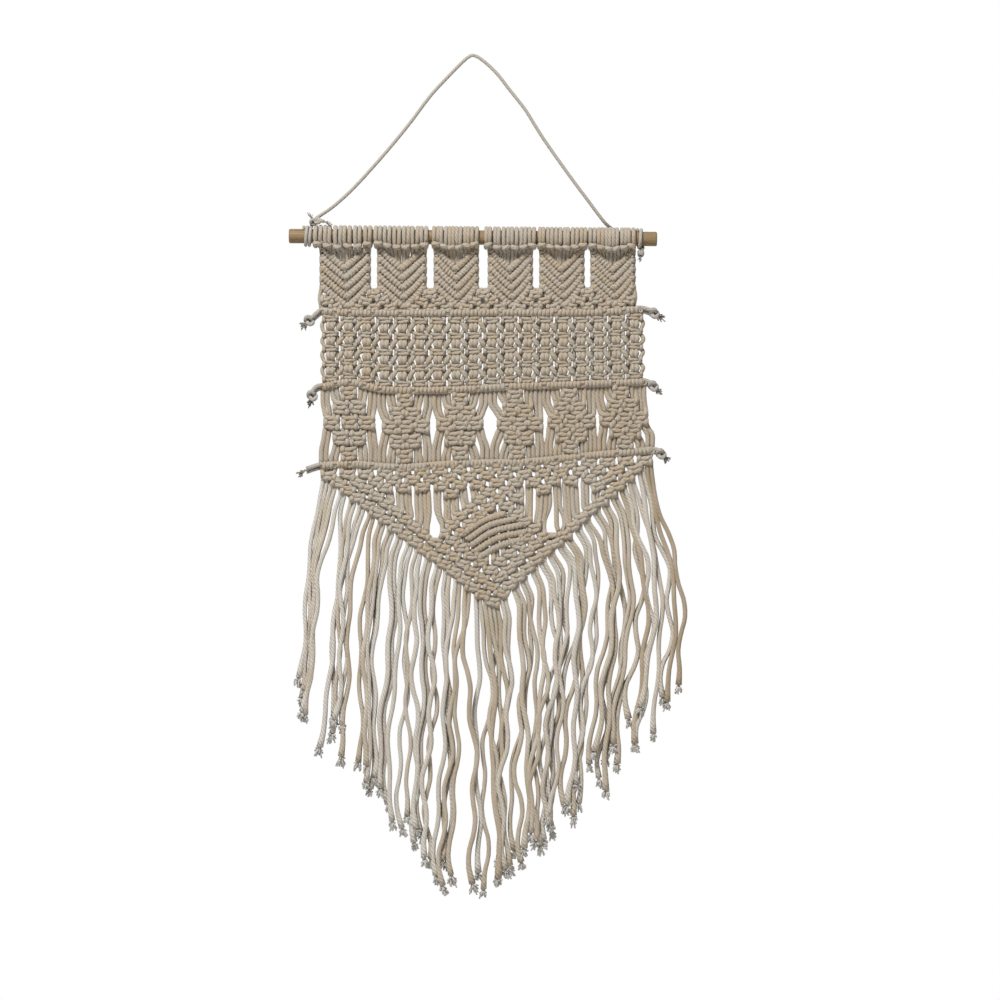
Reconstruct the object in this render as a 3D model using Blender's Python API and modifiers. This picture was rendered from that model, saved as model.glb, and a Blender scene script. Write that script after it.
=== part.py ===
"""Macrame wall hanging: cotton cord knotted on a wooden dowel, held up by a thin hanging cord.

Metres, +Z up, front towards -Y. The origin is where the nail bears, under the top of the hanging cord.
From the top down: the dowel with six rows of looped-on cord, six tabs ribbed in a V, the joins between
their points, three holding cords with a net and a row of diamonds between them, a V-shaped panel, and
the free cord ends as a fringe. Tables are in millimetres.
"""

import math
from collections import namedtuple

import bmesh
import bpy

MM = 0.001
GAP = 0.35 * MM  # left between two pieces that touch

# Cord and cloth. A panel is one cord thick where its cords hang side by side, and two where they are knotted.
CORD = 4.3 * MM
HANGER = 3.5 * MM
PANEL_Y = -3.0 * MM
KNOTTED = 8.6 * MM

# The dowel hangs a little lower at its right-hand end.
DOWEL_LEFT, DOWEL_RIGHT = -189.0 * MM, 191.0 * MM
DOWEL_LEFT_Z, DOWEL_RIGHT_Z = -184.9 * MM, -188.0 * MM
DOWEL_RADIUS = 7.5 * MM
DOWEL_SIDES = 32
END_ROUNDING = 1.4 * MM
HEADING_RADIUS = DOWEL_RADIUS + GAP + CORD
SLEEVE_SIDES = 20

# Twelve cords to a tab: where its loops sit on the dowel, and the tab's own two edges.
Tab = namedtuple("Tab", "heading_left heading_right left right")
TABS = (
    Tab(-164.0, -103.0, -158.0, -103.8),
    Tab(-101.2, -44.6, -98.7, -46.0),
    Tab(-41.3, 6.7, -40.3, 7.7),
    Tab(12.4, 66.6, 15.5, 63.5),
    Tab(67.7, 118.8, 68.7, 116.7),
    Tab(120.3, 168.5, 121.4, 169.4),
)
RIBS = 5
RIB_DROP = 19.5 * MM
RIB_HALF = 3.6 * MM  # half of a rib's height, measured straight up
RIB_START = 4.2 * MM
JOIN_HEIGHT = 7.4 * MM
JOIN_CLEAR = 0.6 * MM
JOIN_POINT = 0.9 * MM
EDGE_BOW = 3.4 * MM  # the outermost cord bows out between the tabs and the first holding cord

# The middle line of each holding cord, and of the ends that stick out of it: (x, z) and (x, z, radius).
ROW_RADIUS = 4.15 * MM
ROW_STEP = 15.0 * MM
Row = namedtuple("Row", "line left_end right_end")
ROWS = (
    Row(
        ((-155, -262.9), (-126, -264.4), (-74, -265), (29, -264.4), (137, -263.9), (174, -260.8)),
        ((-160, -266, 3.2), (-165, -271, 4.4), (-169, -273, 4.2), (-173, -272, 2.4)),
        ((179, -261.6, 2.4), (184, -263.5, 2.6), (189, -266, 3.8)),
    ),
    Row(
        ((-155, -340.9), (-126, -336.2), (-95, -343.4), (-23, -344), (36, -340.9), (114, -338.2), (178, -335.7)),
        ((-160, -342, 3.2), (-165, -346, 4.2), (-166.5, -350.5, 4.4), (-164.5, -354.5, 2.6)),
        ((182, -337, 2.4), (186, -339.5, 4.0), (190, -341, 2.6)),
    ),
    Row(
        ((-156, -422.5), (-126, -420.8), (-77, -424), (-12, -420.2), (60, -418.3), (114, -412.7), (186, -406.5)),
        ((-161, -423.6, 2.8), (-167, -425.6, 2.3), (-172, -427, 2.4), (-175, -430, 3.6)),
        ((190, -407, 2.6), (194, -409.5, 3.8), (197, -412.5, 2.6)),
    ),
)

# The net: eighteen columns of square knots, five to a column. Its edge cords bow out between the knots.
NET_COLUMNS = 18
NET_FIRST, NET_PITCH = -145.7 * MM, 18.43 * MM
NET_COLUMN_HALF = 4.6 * MM
NET_LEFT, NET_RIGHT = -153.5 * MM, 176.5 * MM
NET_KNOTS = 5
NET_BULGE = 1.3 * MM

# The diamonds: each hangs from its own twelve cords, so slits stand open between them.
Diamond = namedtuple("Diamond", "top_left top_right mid_left mid_right low_left low_right middle")
DIAMONDS = (
    Diamond(-155.0, -99.2, -153.0, -99.7, -156.5, -98.2, -378.1),
    Diamond(-97.0, -41.8, -93.0, -43.4, -96.5, -42.2, -381.7),
    Diamond(-39.8, 15.5, -36.7, 11.9, -40.3, 16.6, -379.1),
    Diamond(18.1, 71.3, 25.8, 73.4, 20.1, 73.6, -379.1),
    Diamond(73.2, 126.5, 78.0, 127.9, 75.9, 128.0, -377.0),
    Diamond(128.3, 178.7, 131.9, 181.8, 130.4, 187.0, -373.9),
)
DIAMOND_KNOT_HALF = 7.2 * MM
DIAMOND_INSET = 0.8 * MM

# The V-shaped panel: a net of square knots that narrows by one knot a row, with two windows of free cord.
V_LEFT, V_RIGHT = -154.5 * MM, 186.0 * MM
V_POINT_X, V_POINT_Z = 20.5 * MM, -567.0 * MM
V_POINT_HALF = 5.0 * MM
V_SHOULDER = 4.0 * MM
V_STEP = 24.0 * MM
V_HEM = 13.5 * MM
V_RAISED = (8.6 * MM, 8.9 * MM, 9.2 * MM, 9.5 * MM)
V_DIAMOND = ((22.7, -441.5), (75.0, -474.0), (75.0, -496.0), (28.9, -522.0), (-27.0, -487.0))
V_TRIANGLES = (
    ((-147.0, -428.5), (-88.0, -431.0), (-116.0, -457.0)),
    ((121.0, -420.0), (177.0, -415.5), (150.0, -447.0)),
)
Window = namedtuple("Window", "x z half_width half_height lean")
V_WINDOWS = (Window(-38.6, -486.5, 5.4, 12.5, 2.0), Window(81.4, -484.5, 4.4, 13.5, 0.0))
WINDOW_SIDES = 12

# The fringe: a comb of thirty-six pairs of cord ends. Its tips, against each tooth's share of the width.
TEETH = 36
FRINGE_BAND = 5.0 * MM
TOOTH_HALF = 3.5 * MM
TOOTH_TIP_HALF = 2.4 * MM
TOOTH_STEP = 36.0 * MM
Tip = namedtuple("Tip", "share z")
TIPS = (
    Tip(0.0, -648.0),
    Tip(0.1, -690.0),
    Tip(0.2, -731.0),
    Tip(0.3, -779.0),
    Tip(0.4, -819.0),
    Tip(0.5, -864.0),
    Tip(0.6, -820.0),
    Tip(0.7, -797.0),
    Tip(0.8, -755.0),
    Tip(0.9, -712.0),
    Tip(1.0, -655.0),
)
TIP_UNEVEN = 7.0 * MM
LEFT_SPREAD, RIGHT_SPREAD = 28.0 * MM, 29.0 * MM
SPREAD_TOP, SPREAD_LOW = -430.0 * MM, -675.0 * MM
FRINGE_WAVE = 4.0 * MM

# The hanging cord, from its knot at the left, over the nail, and down behind the loops at the right.
HANGER_ROUTE = (
    (-164.6, 1.6, -169.2),
    (-161.0, 1.2, -166.4),
    (-137.4, 0, -149.8),
    (-95.0, 0, -105.4),
    (-60.9, 0, -64.0),
    (-43.4, 0, -40.5),
    (-18.6, 0, -14.0),
    (-7.0, 0, -2.6),
    (0, 0, 1.75),
    (7.5, 0, -0.9),
    (24.8, 0, -16.0),
    (39.3, 0, -34.5),
    (55.8, 0, -55.5),
    (69.2, 0, -77.5),
    (99.2, 0, -120.5),
    (123.0, 0.6, -152.4),
    (137.5, 3.4, -171.0),
    (144.5, 9.8, -176.4),
    (153.0, 13.9, -182.6),
    (162.0, 14.6, -187.0),
    (169.6, 14.6, -188.0),
)
HANGER_STEP = 10 * MM
TIE_RADIUS = DOWEL_RADIUS + GAP + HANGER / 2
TIE_PITCH = HANGER + GAP
TIE_POINTS = 12  # to a turn
Tie = namedtuple("Tie", "start_x turns start_turn end")
TIES = {
    "tie_left": Tie(
        -173.7, 2.0, 0.25, ((-165.2, -1.6, -171.2, 1.75), (-162.6, -3.6, -169.4, 2.0),
                            (-159.6, -4.6, -169.0, 3.0), (-156.4, -5.2, -169.8, 2.2), (-153.6, -5.4, -170.2, 2.4))
    ),
    "tie_right": Tie(
        170.9, 1.5, 0.25, ((176.2, -2.8, -199.2, 1.75), (174.6, -4.2, -201.6, 2.6),
                           (173.4, -4.8, -204.4, 2.4), (172.8, -5.0, -207.0, 1.6))
    ),
}

# Finishes: colour, roughness.
COTTON = ("cotton_cord", (0.52, 0.46, 0.38, 1.0), 0.95)
WOOD = ("dowel_wood", (0.52, 0.32, 0.14, 1.0), 0.6)


def clear_scene():
    for obj in list(bpy.data.objects):
        bpy.data.objects.remove(obj)


def new_collection(name):
    collection = bpy.data.collections.new(name)
    bpy.context.scene.collection.children.link(collection)
    return collection


def give_material(obj, finish):
    name, colour, roughness = finish
    material = bpy.data.materials.new(f"{obj.name}_{name}")
    material.use_nodes = True
    shader = material.node_tree.nodes["Principled BSDF"]
    shader.inputs["Base Color"].default_value = colour
    shader.inputs["Roughness"].default_value = roughness
    obj.data.materials.append(material)


def between(rows, share):
    """The value at share, in a table of (share, value) rows joined by straight lines."""
    for (low, start), (high, end) in zip(rows, rows[1:]):
        if share <= high or high == rows[-1][0]:
            return start + (end - start) * (share - low) / (high - low)


def smooth_line(points, step):
    """Points about step apart on the smooth curve through the given points."""
    points = [tuple(p) for p in points]
    ends = [points[0], *points, points[-1]]
    line = [points[0]]
    for before, start, end, after in zip(ends, ends[1:], ends[2:], ends[3:]):
        pieces = max(1, round(math.dist(start, end) / step))
        for piece in range(1, pieces + 1):
            t = piece / pieces
            weights = (
                (-t + 2 * t**2 - t**3) / 2,
                (2 - 5 * t**2 + 3 * t**3) / 2,
                (t + 4 * t**2 - 3 * t**3) / 2,
                (-(t**2) + t**3) / 2,
            )
            corners = (before, start, end, after)
            line.append(tuple(sum(w * p[axis] for w, p in zip(weights, corners)) for axis in range(len(start))))
    return line


def tube(name, points, collection, resolution):
    """A round cord through points of (x, y, z, radius)."""
    data = bpy.data.curves.new(name, "CURVE")
    data.dimensions = "3D"
    data.bevel_depth = 1.0
    data.bevel_resolution = resolution
    data.use_fill_caps = True
    spline = data.splines.new("POLY")
    spline.points.add(len(points) - 1)
    for point, (x, y, z, radius) in zip(spline.points, points):
        point.co = (x, y, z, 1)
        point.radius = radius
    obj = bpy.data.objects.new(name, data)
    collection.objects.link(obj)
    return obj


def flat_piece(name, loops, thickness, collection):
    """A plate in the panel's plane, with the outline loops[0] and a hole for each further loop of (x, z)."""
    data = bpy.data.curves.new(name, "CURVE")
    data.dimensions = "2D"
    data.fill_mode = "BOTH"
    data.extrude = thickness / 2
    for loop in loops:
        spline = data.splines.new("POLY")
        spline.points.add(len(loop) - 1)
        for point, (x, z) in zip(spline.points, loop):
            point.co = (x, z, 0, 1)
        spline.use_cyclic_u = True
    obj = bpy.data.objects.new(name, data)
    obj.location = (0, PANEL_Y, 0)
    obj.rotation_euler = (math.pi / 2, 0, 0)
    collection.objects.link(obj)
    return obj


def as_mesh(curve):
    """The curve object made a mesh object of the same name and place, with its caps welded on."""
    bpy.context.view_layer.update()
    graph = bpy.context.evaluated_depsgraph_get()
    mesh = bpy.data.meshes.new_from_object(curve.evaluated_get(graph))
    welded = bmesh.new()
    welded.from_mesh(mesh)
    bmesh.ops.remove_doubles(welded, verts=welded.verts, dist=0.001 * MM)
    welded.to_mesh(mesh)
    welded.free()
    name, place, home = curve.name, curve.matrix_world.copy(), curve.users_collection[0]
    bpy.data.objects.remove(curve)
    obj = bpy.data.objects.new(name, mesh)
    obj.matrix_world = place
    home.objects.link(obj)
    return obj


def raise_on(plate, outlines, thickness):
    """Joins thicker areas, which don't touch one another, to a plate."""
    number = len(plate.modifiers) + 1
    raised = as_mesh(flat_piece(f"{plate.name}_raised_{number}", outlines, thickness, helpers))
    raised.hide_render = True
    raised.display_type = "WIRE"
    union = plate.modifiers.new(f"raised_{number}", "BOOLEAN")
    union.operation = "UNION"
    union.object = raised


def dowel_z(x):
    return DOWEL_LEFT_Z + (DOWEL_RIGHT_Z - DOWEL_LEFT_Z) * (x - DOWEL_LEFT) / (DOWEL_RIGHT - DOWEL_LEFT)


def row_line(row):
    return smooth_line([(x * MM, z * MM) for x, z in row.line], ROW_STEP)


def row_z(row, x):
    return between(row_line(row), x)


def samples(left, right, step):
    count = max(1, math.ceil((right - left) / step))
    return [left + (right - left) * i / count for i in range(count + 1)]


def under_row(row, x):
    return row_z(row, x) - ROW_RADIUS - GAP


def over_row(row, x):
    return row_z(row, x) + ROW_RADIUS + GAP


def build_dowel():
    bpy.ops.mesh.primitive_cylinder_add(
        vertices=DOWEL_SIDES, radius=DOWEL_RADIUS, depth=DOWEL_RIGHT - DOWEL_LEFT
    )
    dowel = bpy.context.object
    dowel.name = "dowel"
    middle = (DOWEL_LEFT + DOWEL_RIGHT) / 2
    dowel.location = (middle, 0, dowel_z(middle))
    dowel.rotation_euler = (0, math.pi / 2 + DOWEL_SLOPE, 0)
    for home in list(dowel.users_collection):
        home.objects.unlink(dowel)
    hanging.objects.link(dowel)
    bevel = dowel.modifiers.new("rounded_ends", "BEVEL")
    bevel.width = END_ROUNDING
    bevel.segments = 3
    bevel.limit_method = "ANGLE"
    bevel.angle_limit = math.radians(60)
    dowel.data.shade_smooth()
    dowel.data.set_sharp_from_angle(angle=math.radians(50))
    give_material(dowel, WOOD)


def circle(radius, sides):
    return [(radius * math.cos(math.tau * i / sides), radius * math.sin(math.tau * i / sides)) for i in range(sides)]


def build_heading(number, tab):
    """The loops that mount one tab's cords on the dowel: a sleeve round it."""
    left, right = tab.heading_left * MM, tab.heading_right * MM
    data = bpy.data.curves.new(f"heading_{number}", "CURVE")
    data.dimensions = "2D"
    data.fill_mode = "BOTH"
    rounding = CORD / 4
    data.extrude = (right - left) / 2 - rounding
    data.bevel_depth = rounding
    data.bevel_resolution = 0
    data.offset = -rounding
    flats_clear = (DOWEL_RADIUS + GAP) / math.cos(math.pi / SLEEVE_SIDES)
    for radius in (HEADING_RADIUS, flats_clear):
        spline = data.splines.new("POLY")
        spline.points.add(SLEEVE_SIDES - 1)
        for point, (x, y) in zip(spline.points, circle(radius, SLEEVE_SIDES)):
            point.co = (x, y, 0, 1)
        spline.use_cyclic_u = True
    heading = bpy.data.objects.new(f"heading_{number}", data)
    middle = (left + right) / 2
    heading.location = (middle, 0, dowel_z(middle))
    heading.rotation_euler = (0, math.pi / 2 + DOWEL_SLOPE, 0)
    hanging.objects.link(heading)
    give_material(heading, COTTON)


def rib_heights(tab):
    """Where the V ribs of a tab start at its edges, from the top one down."""
    centre = (tab.left + tab.right) / 2 * MM
    first = dowel_z(centre) - HEADING_RADIUS - GAP - RIB_START
    last = over_row(ROWS[0], centre) + RIB_HALF + RIB_DROP + 0.2 * MM
    return [first + (last - first) * i / (RIBS - 1) for i in range(RIBS)]


def build_tab(number, tab):
    left, right = tab.left * MM, tab.right * MM
    centre = (left + right) / 2
    inset = DIAMOND_INSET / 2
    heights = rib_heights(tab)
    top = dowel_z(right) - HEADING_RADIUS - GAP
    side = heights[-1] - RIB_HALF + inset
    outline = [
        (left + inset, top),
        (right - inset, top),
        (right - inset, side),
        (centre, side - RIB_DROP),
        (left + inset, side),
    ]
    plate = as_mesh(flat_piece(f"tab_{number}", [outline], CORD, hanging))
    ribs = []
    for z in heights:
        upper = [(left, z + RIB_HALF), (centre, z - RIB_DROP + RIB_HALF), (right, z + RIB_HALF)]
        lower = [(x, h - 2 * RIB_HALF) for x, h in reversed(upper)]
        ribs.append(upper + lower)
    raise_on(plate, ribs, KNOTTED)
    give_material(plate, COTTON)


def build_join(number):
    """The square knots that fill the triangle between two tabs' points, above the first holding cord."""
    before = TABS[number - 1] if number > 0 else None
    after = TABS[number] if number < len(TABS) else None
    if before:
        centre = (before.left + before.right) / 2 * MM
        side = rib_heights(before)[-1] - RIB_HALF - JOIN_CLEAR
        start = [(centre + JOIN_POINT, over_row(ROWS[0], centre)), (before.right * MM, side)]
    else:
        edge = after.left * MM
        side = rib_heights(after)[-1] - RIB_HALF - JOIN_CLEAR
        low = over_row(ROWS[0], edge)
        start = [(edge, low), (edge - EDGE_BOW, (low + side) / 2), (edge, side)]
    if after:
        centre = (after.left + after.right) / 2 * MM
        side = rib_heights(after)[-1] - RIB_HALF - JOIN_CLEAR
        end = [(after.left * MM, side), (centre - JOIN_POINT, over_row(ROWS[0], centre))]
        if not before:
            end = end[1:]
    else:
        edge = before.right * MM + EDGE_BOW
        low = over_row(ROWS[0], edge)
        end = [(edge, (low + side) / 2), (edge, low)]
    base = samples(start[0][0], end[-1][0], ROW_STEP)[1:-1]
    floor = [(x, over_row(ROWS[0], x)) for x in reversed(base)]
    join = as_mesh(flat_piece(f"join_{number + 1}", [start + end + floor], JOIN_HEIGHT, hanging))
    give_material(join, COTTON)


def build_row(number, row):
    """A holding cord with every hanging cord hitched over it, and its own two ends."""
    line = row_line(row)
    middle = [(x, PANEL_Y, z, ROW_RADIUS) for x, z in line]
    left = [(x * MM, PANEL_Y, z * MM, radius * MM) for x, z, radius in reversed(row.left_end)]
    right = [(x * MM, PANEL_Y, z * MM, radius * MM) for x, z, radius in row.right_end]
    bar = tube(f"holding_cord_{number}", left + middle + right, hanging, 2)
    give_material(bar, COTTON)


def net_column(x):
    """The outline of one column of knots."""
    left, right = x - NET_COLUMN_HALF, x + NET_COLUMN_HALF
    top = [(side, under_row(ROWS[0], side) - DIAMOND_INSET) for side in (left, right)]
    bottom = [(side, over_row(ROWS[1], side) + DIAMOND_INSET) for side in (right, left)]
    return top + bottom


def build_net():
    columns = samples(NET_LEFT, NET_RIGHT, NET_PITCH / 2)
    top = [(x, under_row(ROWS[0], x)) for x in columns]
    bottom = [(x, over_row(ROWS[1], x)) for x in reversed(columns)]
    steps = [i / (2 * NET_KNOTS - 2) for i in range(1, 2 * NET_KNOTS - 2)]
    bulge = [NET_BULGE * abs(math.sin(math.pi * (NET_KNOTS - 1) * share)) for share in steps]
    right = [(NET_RIGHT + b, top[-1][1] + (bottom[0][1] - top[-1][1]) * s) for s, b in zip(steps, bulge)]
    left = [(NET_LEFT - b, bottom[-1][1] + (top[0][1] - bottom[-1][1]) * s) for s, b in zip(steps, bulge)]
    net = as_mesh(flat_piece("net_band", [top + right + bottom + left], CORD, hanging))
    raise_on(net, [net_column(NET_FIRST + i * NET_PITCH) for i in range(NET_COLUMNS)], KNOTTED)
    give_material(net, COTTON)


def build_diamond(number, diamond):
    sizes = Diamond(*(value * MM for value in diamond))
    top = [(x, under_row(ROWS[1], x)) for x in samples(sizes.top_left, sizes.top_right, ROW_STEP)]
    low = [(x, over_row(ROWS[2], x)) for x in samples(sizes.low_left, sizes.low_right, ROW_STEP)]
    half = DIAMOND_KNOT_HALF
    right = [(sizes.mid_right, sizes.middle + half), (sizes.mid_right, sizes.middle - half)]
    left = [(sizes.mid_left, sizes.middle - half), (sizes.mid_left, sizes.middle + half)]
    outline = top + right + list(reversed(low)) + left
    plate = as_mesh(flat_piece(f"diamond_{number}", [outline], CORD, hanging))
    centre = (sizes.mid_left + sizes.mid_right) / 2
    high = under_row(ROWS[1], centre) - 2 * DIAMOND_INSET
    deep = over_row(ROWS[2], centre) + 2 * DIAMOND_INSET
    inner_left, inner_right = sizes.mid_left + DIAMOND_INSET, sizes.mid_right - DIAMOND_INSET
    inner = half - DIAMOND_INSET
    knots = [
        (centre - half, high),
        (centre + half, high),
        (inner_right, sizes.middle + inner),
        (inner_right, sizes.middle - inner),
        (centre + half, deep),
        (centre - half, deep),
        (inner_left, sizes.middle - inner),
        (inner_left, sizes.middle + inner),
    ]
    raise_on(plate, [knots], KNOTTED)
    give_material(plate, COTTON)


def v_edge_z(x):
    """The height of the V panel's lower edge."""
    if x <= V_POINT_X:
        corner_x, corner_z = V_LEFT, under_row(ROWS[2], V_LEFT) - V_SHOULDER
        point_x = V_POINT_X - V_POINT_HALF
    else:
        corner_x, corner_z = V_RIGHT, under_row(ROWS[2], V_RIGHT) - V_SHOULDER
        point_x = V_POINT_X + V_POINT_HALF
    share = (x - corner_x) / (point_x - corner_x)
    return max(V_POINT_Z, corner_z + (V_POINT_Z - corner_z) * share)


def window_outline(window):
    loop = []
    for x, z in circle(1, WINDOW_SIDES):
        across = window.x + window.half_width * x + window.lean * z
        loop.append((across * MM, (window.z + window.half_height * z) * MM))
    return loop


def build_v_panel():
    across = samples(V_LEFT, V_RIGHT, V_STEP)
    top = [(x, under_row(ROWS[2], x)) for x in across]
    lower = [V_RIGHT, V_POINT_X + V_POINT_HALF, V_POINT_X - V_POINT_HALF, V_LEFT]
    outline = top + [(x, v_edge_z(x)) for x in lower]
    panel = as_mesh(flat_piece("v_panel", [outline] + [window_outline(w) for w in V_WINDOWS], CORD, hanging))
    inset = DIAMOND_INSET
    band = across[1:-1]
    strip = [(x, under_row(ROWS[2], x) - inset) for x in band]
    strip += [(x, under_row(ROWS[2], x) - inset - KNOTTED) for x in reversed(band)]
    raise_on(panel, [strip], V_RAISED[0])
    hem = [(x, v_edge_z(x) + inset) for x in (V_LEFT + 2 * V_HEM, *lower[2:0:-1], V_RIGHT - 2 * V_HEM)]
    hem += [(x, z + V_HEM) for x, z in reversed(hem)]
    raise_on(panel, [hem], V_RAISED[1])
    raise_on(panel, [[(x * MM, z * MM) for x, z in V_DIAMOND]], V_RAISED[2])
    raise_on(panel, [[(x * MM, z * MM) for x, z in loop] for loop in V_TRIANGLES], V_RAISED[3])
    give_material(panel, COTTON)


def spread_x(x, z):
    """Where a cord that would hang straight at x has moved to at height z: both sides of the fringe swing out."""
    share = (x - V_LEFT) / (V_RIGHT - V_LEFT)
    depth = min(1.3, max(0.0, (SPREAD_TOP - z) / (SPREAD_TOP - SPREAD_LOW)))
    left = LEFT_SPREAD * math.sin(min(1.0, 0.8 * depth) * math.pi / 2)
    right = RIGHT_SPREAD * math.sin(min(1.3, depth) * math.pi * 0.75)
    return x - left * (1 - share) ** 2 + right * share**2


def build_fringe():
    pitch = (V_RIGHT - V_LEFT) / TEETH
    teeth = []
    for i in range(TEETH):
        x = V_LEFT + pitch * (i + 0.5)
        root = v_edge_z(x) - GAP - FRINGE_BAND
        uneven = math.sin(2.3 * i) * math.cos(0.9 * i)
        tip = between(TIPS, (i + 0.5) / TEETH) * MM + TIP_UNEVEN * uneven
        count = max(4, round((root - tip) / TOOTH_STEP))
        side = []
        for step in range(count + 1):
            share = step / count
            half = TOOTH_HALF + (TOOTH_TIP_HALF - TOOTH_HALF) * share
            z = root + (tip - root) * share
            side.append((spread_x(x, z), z, half))
        teeth += [(across - half, z) for across, z, half in side]
        teeth += [(across + half, z) for across, z, half in reversed(side)]
    roots = (V_RIGHT, V_POINT_X + V_POINT_HALF, V_POINT_X - V_POINT_HALF, V_LEFT)
    heading = [(x, v_edge_z(x) - 1.3 * GAP) for x in roots]
    fringe = as_mesh(flat_piece("fringe", [teeth + heading], CORD, hanging))
    for vertex in fringe.data.vertices:
        x, z = vertex.co.x, vertex.co.y
        depth = max(0.0, (V_POINT_Z - z) / (V_POINT_Z - TIPS[5].z * MM))
        vertex.co.z += FRINGE_WAVE * depth * math.sin(x / (40 * MM)) * math.cos(z / (70 * MM))
    give_material(fringe, COTTON)


def build_hanger():
    route = smooth_line([(x * MM, y * MM, z * MM) for x, y, z in HANGER_ROUTE], HANGER_STEP)
    hanger = tube("hanger_cord", [(*point, HANGER / 2) for point in route], hanging, 2)
    give_material(hanger, COTTON)


def build_tie(name, tie):
    """One end of the hanging cord, wound round the dowel, with its knot and short tail."""
    winding = []
    count = round(tie.turns * TIE_POINTS)
    for i in range(count + 1):
        turn = i / TIE_POINTS
        angle = math.tau * (turn + tie.start_turn)
        x = tie.start_x * MM + turn * TIE_PITCH
        winding.append(
            (x, -TIE_RADIUS * math.cos(angle), dowel_z(x) + TIE_RADIUS * math.sin(angle), HANGER / 2)
        )
    end = [(x * MM, y * MM, z * MM, radius * MM) for x, y, z, radius in tie.end]
    obj = tube(name, winding + end, hanging, 2)
    give_material(obj, COTTON)


DOWEL_SLOPE = math.atan2(DOWEL_LEFT_Z - DOWEL_RIGHT_Z, DOWEL_RIGHT - DOWEL_LEFT)

clear_scene()
hanging = new_collection("macrame_wall_hanging")
helpers = new_collection("raised_areas")

build_dowel()
build_hanger()
for tie_name, tie_sizes in TIES.items():
    build_tie(tie_name, tie_sizes)
for tab_number, tab_sizes in enumerate(TABS, 1):
    build_heading(tab_number, tab_sizes)
    build_tab(tab_number, tab_sizes)
for join_number in range(len(TABS) + 1):
    build_join(join_number)
for row_number, row_sizes in enumerate(ROWS, 1):
    build_row(row_number, row_sizes)
build_net()
for diamond_number, diamond_sizes in enumerate(DIAMONDS, 1):
    build_diamond(diamond_number, diamond_sizes)
build_v_panel()
build_fringe()
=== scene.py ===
"""Looks of a macrame wall hanging: cotton cord knotted on a wooden dowel, hung by a thin cord.

Sections follow the hanging from the nail down. Everything is in metres, with the nail at the origin,
+Z up and the front towards -Y. Tables are in millimetres.
"""

import math
import random
from collections import namedtuple

import bpy
import numpy as np
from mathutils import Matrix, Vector


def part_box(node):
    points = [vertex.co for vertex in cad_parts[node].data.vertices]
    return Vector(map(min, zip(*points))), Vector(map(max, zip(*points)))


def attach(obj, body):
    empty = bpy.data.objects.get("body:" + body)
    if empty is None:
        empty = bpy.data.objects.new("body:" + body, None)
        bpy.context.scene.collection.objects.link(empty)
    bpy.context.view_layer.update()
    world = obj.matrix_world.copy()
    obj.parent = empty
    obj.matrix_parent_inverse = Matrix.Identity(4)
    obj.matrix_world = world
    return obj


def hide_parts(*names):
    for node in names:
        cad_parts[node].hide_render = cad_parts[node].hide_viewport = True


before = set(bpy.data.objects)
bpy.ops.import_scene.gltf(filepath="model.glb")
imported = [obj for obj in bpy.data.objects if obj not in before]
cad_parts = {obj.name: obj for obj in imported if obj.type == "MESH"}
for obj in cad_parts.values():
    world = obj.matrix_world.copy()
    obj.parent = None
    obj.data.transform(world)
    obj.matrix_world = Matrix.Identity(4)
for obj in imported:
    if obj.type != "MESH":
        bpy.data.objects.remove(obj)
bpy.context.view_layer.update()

# --- Camera ---------------------------------------------------------------------------------------
# Straight on to the front, level, and far back, so that the cords hang without perspective.

VIEW_WIDTH = 1.033
VIEW_CENTRE = Vector((0.0289, 0, -0.4576))
CAMERA_DISTANCE = 3.5

camera = bpy.data.objects.new("camera", bpy.data.cameras.new("camera"))
camera.data.sensor_width = 36
camera.data.lens = 36 * CAMERA_DISTANCE / VIEW_WIDTH
camera.data.clip_end = 50
camera.location = VIEW_CENTRE - Vector((0, CAMERA_DISTANCE, 0))
camera.rotation_euler = (math.pi / 2, 0, 0)
bpy.context.scene.collection.objects.link(camera)
bpy.context.scene.camera = camera

# --- Hanging cord and its two ties ----------------------------------------------------------------
# A thin two-ply cotton string over the nail. Each end is wound round the dowel and knotted: on top of
# the windings at the left, below them at the right. The cut ends are frayed.

MM = 0.001


class Shade:
    """A value on its way through a material's nodes. Arithmetic on it adds Math nodes."""

    def __init__(self, tree, socket=None):
        self.tree, self.socket = tree, socket

    def node(self, kind, settings=None, sockets=None, out=0):
        made = self.tree.nodes.new("ShaderNode" + kind)
        for name, value in (settings or {}).items():
            if name == "stops":
                ramp = made.color_ramp.elements
                while len(ramp) < len(value):
                    ramp.new(0.5)
                for stop, (position, colour) in zip(ramp, value):
                    stop.position = position
                    stop.color = colour
            else:
                setattr(made, name, value)
        for name, value in (sockets or {}).items():
            if isinstance(value, Shade):
                self.tree.links.new(value.socket, made.inputs[name])
            else:
                made.inputs[name].default_value = value
        return Shade(self.tree, made.outputs[out])

    def math(self, operation, *values):
        return self.node("Math", {"operation": operation}, dict(enumerate(values)))

    def __add__(self, other):
        return self.math("ADD", self, other)

    __radd__ = __add__

    def __mul__(self, other):
        return self.math("MULTIPLY", self, other)

    __rmul__ = __mul__

    def __sub__(self, other):
        return self.math("SUBTRACT", self, other)

    def __rsub__(self, other):
        return self.math("SUBTRACT", other, self)

    def mix(self, start, end):
        """The colour start where this value is 0, end where it is 1."""
        made = self.tree.nodes.new("ShaderNodeMix")
        made.data_type = "RGBA"
        for socket, value in zip((made.inputs[0], made.inputs[6], made.inputs[7]), (self, start, end)):
            if isinstance(value, Shade):
                self.tree.links.new(value.socket, socket)
            else:
                socket.default_value = value
        return Shade(self.tree, made.outputs[2])


def surface(name):
    """A new material: its Principled node and a Shade to build from."""
    material = bpy.data.materials.new(name)
    material.use_nodes = True
    return material, material.node_tree.nodes["Principled BSDF"], Shade(material.node_tree)


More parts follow.
